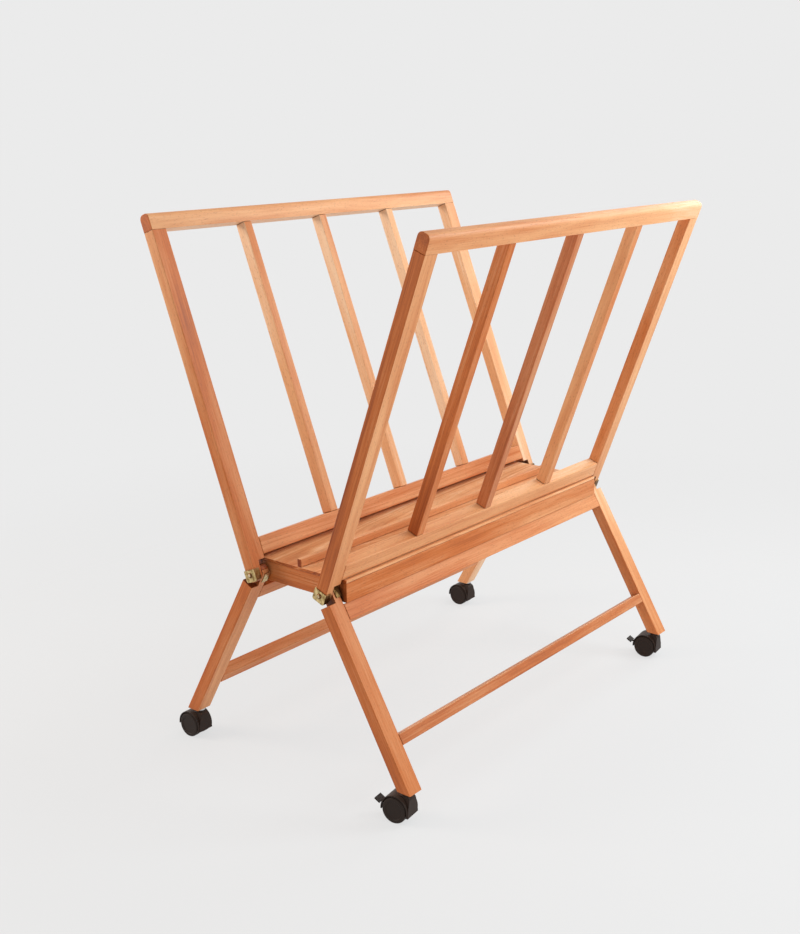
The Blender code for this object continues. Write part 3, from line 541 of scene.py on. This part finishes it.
def painted_side_shade(tree, spot):
    """Painted shade on the faces that look across the rack."""
    along = add_node(tree, "ShaderNodeVectorMath", {"operation": "DOT_PRODUCT"}, i0=spot.outputs["Normal"],
                     i1=(1.0, 0.0, 0.0))
    facing = add_node(tree, "ShaderNodeMath", {"operation": "ABSOLUTE"}, i0=along.outputs["Value"])
    return add_node(tree, "ShaderNodeMapRange", Value=facing.outputs[0], From_Min=SIDE_SHADE_STARTS,
                    From_Max=SIDE_SHADE_FULL, To_Max=SIDE_SHADE_SHARE).outputs[0]


def painted_rim_reflection(tree, spot):
    """A painted dark reflection round the rim of a pin's head, outside its bright middle."""
    return add_node(tree, "ShaderNodeMapRange", Value=pivot_distance(tree, spot), From_Min=RIM_INSIDE,
                    From_Max=RIM_OUTSIDE, To_Max=RIM_REFLECTION_SHARE).outputs[0]


def plated_steel(name, bright, worn, shiniest, dullest, painted_shade=None):
    """Plated steel with cloudy wear, painted shade in its corners and more painted shade where it is given.
    """
    material, tree, shader = new_material(name)
    spot = add_node(tree, "ShaderNodeTexCoord")
    cloud = add_node(tree, "ShaderNodeTexNoise", Vector=spot.outputs["Object"], Scale=1 / RUB_SIZE,
                     Detail=3.0)
    rubbed = add_node(tree, "ShaderNodeMapRange", Value=cloud.outputs["Fac"], From_Min=RUB_STARTS,
                      From_Max=RUB_FULL)
    tint = add_node(tree, "ShaderNodeMix", {"data_type": "RGBA"}, i0=rubbed.outputs[0], i6=linear(worn),
                    i7=linear(bright))
    # Painted shade in the corners, and any other painted shade given, darken the metal.
    dark = painted_corner_shade(tree, METAL_SHADE_SHARE)
    if painted_shade:
        dark = add_node(tree, "ShaderNodeMath", {"operation": "MAXIMUM"}, i0=dark,
                        i1=painted_shade(tree, spot)).outputs[0]
    used = add_node(tree, "ShaderNodeMix", {"data_type": "RGBA"}, i0=dark, i6=tint.outputs[2],
                    i7=linear(METAL_PAINTED_SHADE))
    tree.links.new(used.outputs[2], shader.inputs["Base Color"])
    polish = add_node(tree, "ShaderNodeMapRange", Value=cloud.outputs["Fac"], To_Min=dullest,
                      To_Max=shiniest)
    tree.links.new(polish.outputs[0], shader.inputs["Roughness"])
    shader.inputs["Metallic"].default_value = 1.0
    return material


# Rubbed and worn colour, lowest and highest roughness, and painted shade.
brass = plated_steel("brass_plated_pressed_steel", "#DCC38C", "#84683A", 0.28, 0.5, painted_side_shade)
# A paler copy, without painted side shade, for the leg clips on the left: painted light.
pale_brass_copy = plated_steel("brass_plated_steel_pale_copy", "#DCC79A", "#A38C5C", 0.28, 0.5)
pin_brass = plated_steel("brass_plated_peened_steel", "#E2D0B0", "#B09A6C", 0.25, 0.4, painted_rim_reflection)
# A darker copy with the laps' painted shade, for the leg clips on the right: painted shade.
shaded_brass_copy = plated_steel("brass_plated_steel_shaded_copy", "#94794E", "#4E3A1E", 0.28, 0.5, painted_lap_shade)
zinc = plated_steel("zinc_plated_turned_steel", "#D4D6D6", "#A9ABAA", 0.25, 0.45)
print("metals:", [metal.name for metal in (brass, pale_brass_copy, pin_brass, shaded_brass_copy, zinc)])

# %% [markdown]
# ## Moulded black nylon
# Castor nylon comes out of the mould nearly black and warm, with a fine spark-eroded texture that
# breaks up the shine. That texture could be modelled, but it is far too fine, so it is a bump. On the
# hoods, the faces that look up are paler.

# %% Nylon material
# Nylon has about this IOR. The specular level is matched to the dull shine of the castors.
NYLON_IOR = 1.53
NYLON_SPECULAR = 0.2
NYLON_SHINIEST = 0.42
NYLON_DULLEST = 0.56
# The real texture is a fifth of this wide, too fine to show from here.
GRIT_SIZE = 0.5 * MM
GRIT_RELIEF = 0.08 * MM
GRIT_RELIEF_SHARE = 0.25
CLOUD_SIZE = 9 * MM
# The paler colour of the faces that look up.
UPWARD_PALE = "#54463D"
UPWARD_PALE_STARTS = 0.45
UPWARD_PALE_FULL = 0.95


def moulded_nylon(name, colour, worn, upward_pale_share):
    """Black nylon with a fine moulded texture, paler by a share on the faces that look up."""
    material, tree, shader = new_material(name)
    spot = add_node(tree, "ShaderNodeTexCoord")
    cloud = add_node(tree, "ShaderNodeTexNoise", Vector=spot.outputs["Object"], Scale=1 / CLOUD_SIZE,
                     Detail=2.0)
    tint = add_node(tree, "ShaderNodeMix", {"data_type": "RGBA"}, i0=cloud.outputs["Fac"],
                    i6=linear(colour), i7=linear(worn))
    split = add_node(tree, "ShaderNodeSeparateXYZ", Vector=spot.outputs["Normal"])
    upward_share = add_node(tree, "ShaderNodeMapRange", Value=split.outputs["Z"], From_Min=UPWARD_PALE_STARTS,
                       From_Max=UPWARD_PALE_FULL, To_Max=upward_pale_share)
    pale_topped = add_node(tree, "ShaderNodeMix", {"data_type": "RGBA"}, i0=upward_share.outputs[0],
                     i6=tint.outputs[2], i7=linear(UPWARD_PALE))
    tree.links.new(pale_topped.outputs[2], shader.inputs["Base Color"])
    polish = add_node(tree, "ShaderNodeMapRange", Value=cloud.outputs["Fac"], To_Min=NYLON_SHINIEST,
                      To_Max=NYLON_DULLEST)
    tree.links.new(polish.outputs[0], shader.inputs["Roughness"])
    shader.inputs["IOR"].default_value = NYLON_IOR
    shader.inputs["Specular IOR Level"].default_value = NYLON_SPECULAR
    grit = add_node(tree, "ShaderNodeTexNoise", Vector=spot.outputs["Object"], Scale=1 / GRIT_SIZE,
                    Detail=2.0)
    relief = add_node(tree, "ShaderNodeBump", Strength=GRIT_RELIEF_SHARE, Distance=GRIT_RELIEF,
                      Height=grit.outputs["Fac"])
    tree.links.new(relief.outputs[0], shader.inputs["Normal"])
    return material


# Fresh and worn colour, and how much paler the faces that look up are.
nylon = moulded_nylon("moulded_black_nylon", "#1D120B", "#2B1C13", 0.0)
pale_top_nylon = moulded_nylon("moulded_black_nylon_pale_top", "#20130C", "#301F15", 0.6)
print("nylons:", nylon.name, pale_top_nylon.name)

# %% [markdown]
# ## Metal and nylon pieces
# The record says which material each piece is made of, so the finishes could be dealt out by that
# alone. A few pieces get copies with their own painted light and shade, and these are picked out by
# their names.

# %% Dress the metal and the castors
SLOT_FINISHES = {"brassed_steel": brass, "zinc_steel": zinc, "black_nylon": nylon}
OWN_FINISHES = {
    "_pivot_pin_": pin_brass,
    "left_leg_clip_": pale_brass_copy,
    "right_leg_clip_": shaded_brass_copy,
    "_hood": pale_top_nylon,
}
fittings = [item for item in subparts if item["material_slot"] in SLOT_FINISHES]
for item in fittings:
    finish = SLOT_FINISHES[item["material_slot"]]
    for words, own_finish in OWN_FINISHES.items():
        if words in item["node"]:
            finish = own_finish
    dress(item["node"], finish)
print("metal and nylon pieces dressed:", len(fittings))

# %% [markdown]
# ## Soft edges
# A planed board never has a razor edge. Rounding could be drawn in CAD, but so fine a radius would only
# make the solids heavy. A weld joins the faces that the file format split, and a small bevel then
# rounds what is left of each corner, so that edges catch the light.

# %% Round the edges
WELD_GAP = 0.02 * MM
WOOD_EDGE = 0.4 * MM
OTHER_EDGE = 0.2 * MM
EDGE_STEPS = 2
SHARP_ABOVE = math.radians(25)

for name, piece in pieces.items():
    weld = piece.modifiers.new("weld", "WELD")
    weld.merge_threshold = WELD_GAP
    soften = piece.modifiers.new("soften", "BEVEL")
    soften.width = WOOD_EDGE if name in wooden else OTHER_EDGE
    soften.segments = EDGE_STEPS
    soften.limit_method = "ANGLE"
    soften.angle_limit = SHARP_ABOVE
print("pieces with soft edges:", len(pieces))

# %% [markdown]
# ## Floor
# The rack stands on a pale floor that fades into a background of the same colour, so no horizon shows.
# A wall that curves up behind would do this too, but only from one side. The eye sees the floor mostly
# as its plain colour, with a faint share of the light and shadow that really falls on it, while the
# rack gets the full light that a pale floor throws back up.

# %% Floor
BACKGROUND = "#EBEBEB"
FLOOR_PAINT = "#E4E4E4"
FLOOR_ROUGHNESS = 0.9
FLOOR_REACH = 2.2
FLOOR_SIDES = 96
FLOOR_PLAIN_SHARE = 0.8
FADE_STARTS = 0.6
FADE_ENDS = FLOOR_REACH * 0.98


def seen_rays(tree):
    """One for rays from the eye, also by way of a mirror or glass, and nought for light."""
    path = add_node(tree, "ShaderNodeLightPath")
    seen = path.outputs["Is Camera Ray"]
    for name in ("Is Glossy Ray", "Is Transmission Ray"):
        seen = add_node(tree, "ShaderNodeMath", {"operation": "MAXIMUM"}, i0=seen,
                        i1=path.outputs[name]).outputs[0]
    return seen


def floor_paint():
    """Matt pale paint, seen mostly as its plain colour, that fades away towards the floor's edge."""
    material, tree, shader = new_material("painted_studio_floor")
    shader.inputs["Base Color"].default_value = linear(FLOOR_PAINT)
    shader.inputs["Roughness"].default_value = FLOOR_ROUGHNESS
    shader.inputs["Specular IOR Level"].default_value = 0.0
    plain = add_node(tree, "ShaderNodeEmission", Color=linear(BACKGROUND), Strength=1.0)
    share = add_node(tree, "ShaderNodeMath", {"operation": "MULTIPLY"}, i0=seen_rays(tree),
                     i1=FLOOR_PLAIN_SHARE)
    lit = add_node(tree, "ShaderNodeMixShader", i0=share.outputs[0], i1=shader.outputs[0],
                   i2=plain.outputs[0])
    spot = add_node(tree, "ShaderNodeTexCoord")
    reach = add_node(tree, "ShaderNodeVectorMath", {"operation": "LENGTH"}, i0=spot.outputs["Object"])
    fade = add_node(tree, "ShaderNodeMapRange", {"interpolation_type": "SMOOTHSTEP"},
                    Value=reach.outputs["Value"], From_Min=FADE_STARTS, From_Max=FADE_ENDS, To_Min=1.0,
                    To_Max=0.0)
    clear = add_node(tree, "ShaderNodeBsdfTransparent")
    whole = add_node(tree, "ShaderNodeMixShader", i0=fade.outputs[0], i1=clear.outputs[0],
                     i2=lit.outputs[0])
    output = next(node for node in tree.nodes if node.type == "OUTPUT_MATERIAL")
    tree.links.new(whole.outputs[0], output.inputs["Surface"])
    return material


form = bmesh.new()
bmesh.ops.create_circle(form, cap_ends=True, segments=FLOOR_SIDES, radius=FLOOR_REACH)
disc = bpy.data.meshes.new("floor")
form.to_mesh(disc)
form.free()
disc.materials.append(floor_paint())
floor = bpy.data.objects.new("floor", disc)
bpy.context.scene.collection.objects.link(floor)
print("floor", round(2 * FLOOR_REACH, 1), "m across")

# %% [markdown]
# ## Light
# A soft even sky fills every shadow. A sky alone would light the rack, but flatly, so five large lamps
# stand round it: one overhead, a warm one at the front left, and three to the right and the far end.
# The two on the right are slightly cool and make the far ends of the right-hand boards the brightest.
# The sky that the eye sees is the plain background, which lights nothing.

# %% Sky and lamps
SKY_STRENGTH = 0.42
WHITE = "#FFFFFF"
WARM_WHITE = "#FFF0E2"
COOL_WHITE = "#F3FBFF"
LAMP_AIM = (0.0, 0.0, 0.5)
# Name, place and size in metres, power in watts, and tint.
LAMPS = (
    ("right_far_lamp", (1.3, 0.95, 1.5), 0.8, 20.6, COOL_WHITE),
    ("right_lamp", (1.9, -0.4, 0.7), 1.0, 10.3, COOL_WHITE),
    ("left_front_lamp", (-1.8, -1.6, 1.5), 1.0, 32.0, WARM_WHITE),
    ("overhead_lamp", (0.0, 0.0, 2.8), 1.5, 7.0, WHITE),
    ("far_lamp", (0.2, 1.9, 1.4), 1.0, 12.0, WHITE),
)


def studio_sky():
    """A soft even sky for light, and a plain pale backdrop for the eye."""
    world = bpy.data.worlds.new("studio")
    bpy.context.scene.world = world
    world.use_nodes = True
    tree = world.node_tree
    tree.nodes.clear()
    light = add_node(tree, "ShaderNodeBackground", Color=linear(WHITE), Strength=SKY_STRENGTH)
    backdrop = add_node(tree, "ShaderNodeBackground", Color=linear(BACKGROUND), Strength=1.0)
    both = add_node(tree, "ShaderNodeMixShader", i0=seen_rays(tree), i1=light.outputs[0],
                    i2=backdrop.outputs[0])
    add_node(tree, "ShaderNodeOutputWorld", Surface=both.outputs[0])


def studio_lamp(name, place, size, watts, tint):
    """A square soft lamp that points at the middle of the rack and isn't seen itself."""
    data = bpy.data.lights.new(name, "AREA")
    data.size = size
    data.energy = watts
    data.color = linear(tint)[:3]
    light = bpy.data.objects.new(name, data)
    bpy.context.scene.collection.objects.link(light)
    light.location = place
    light.rotation_euler = (Vector(LAMP_AIM) - Vector(place)).to_track_quat("-Z", "Y").to_euler()
    light.visible_camera = False


studio_sky()
for row in LAMPS:
    studio_lamp(*row)
bpy.context.scene.view_settings.view_transform = "Standard"
print("lamps:", len(LAMPS))
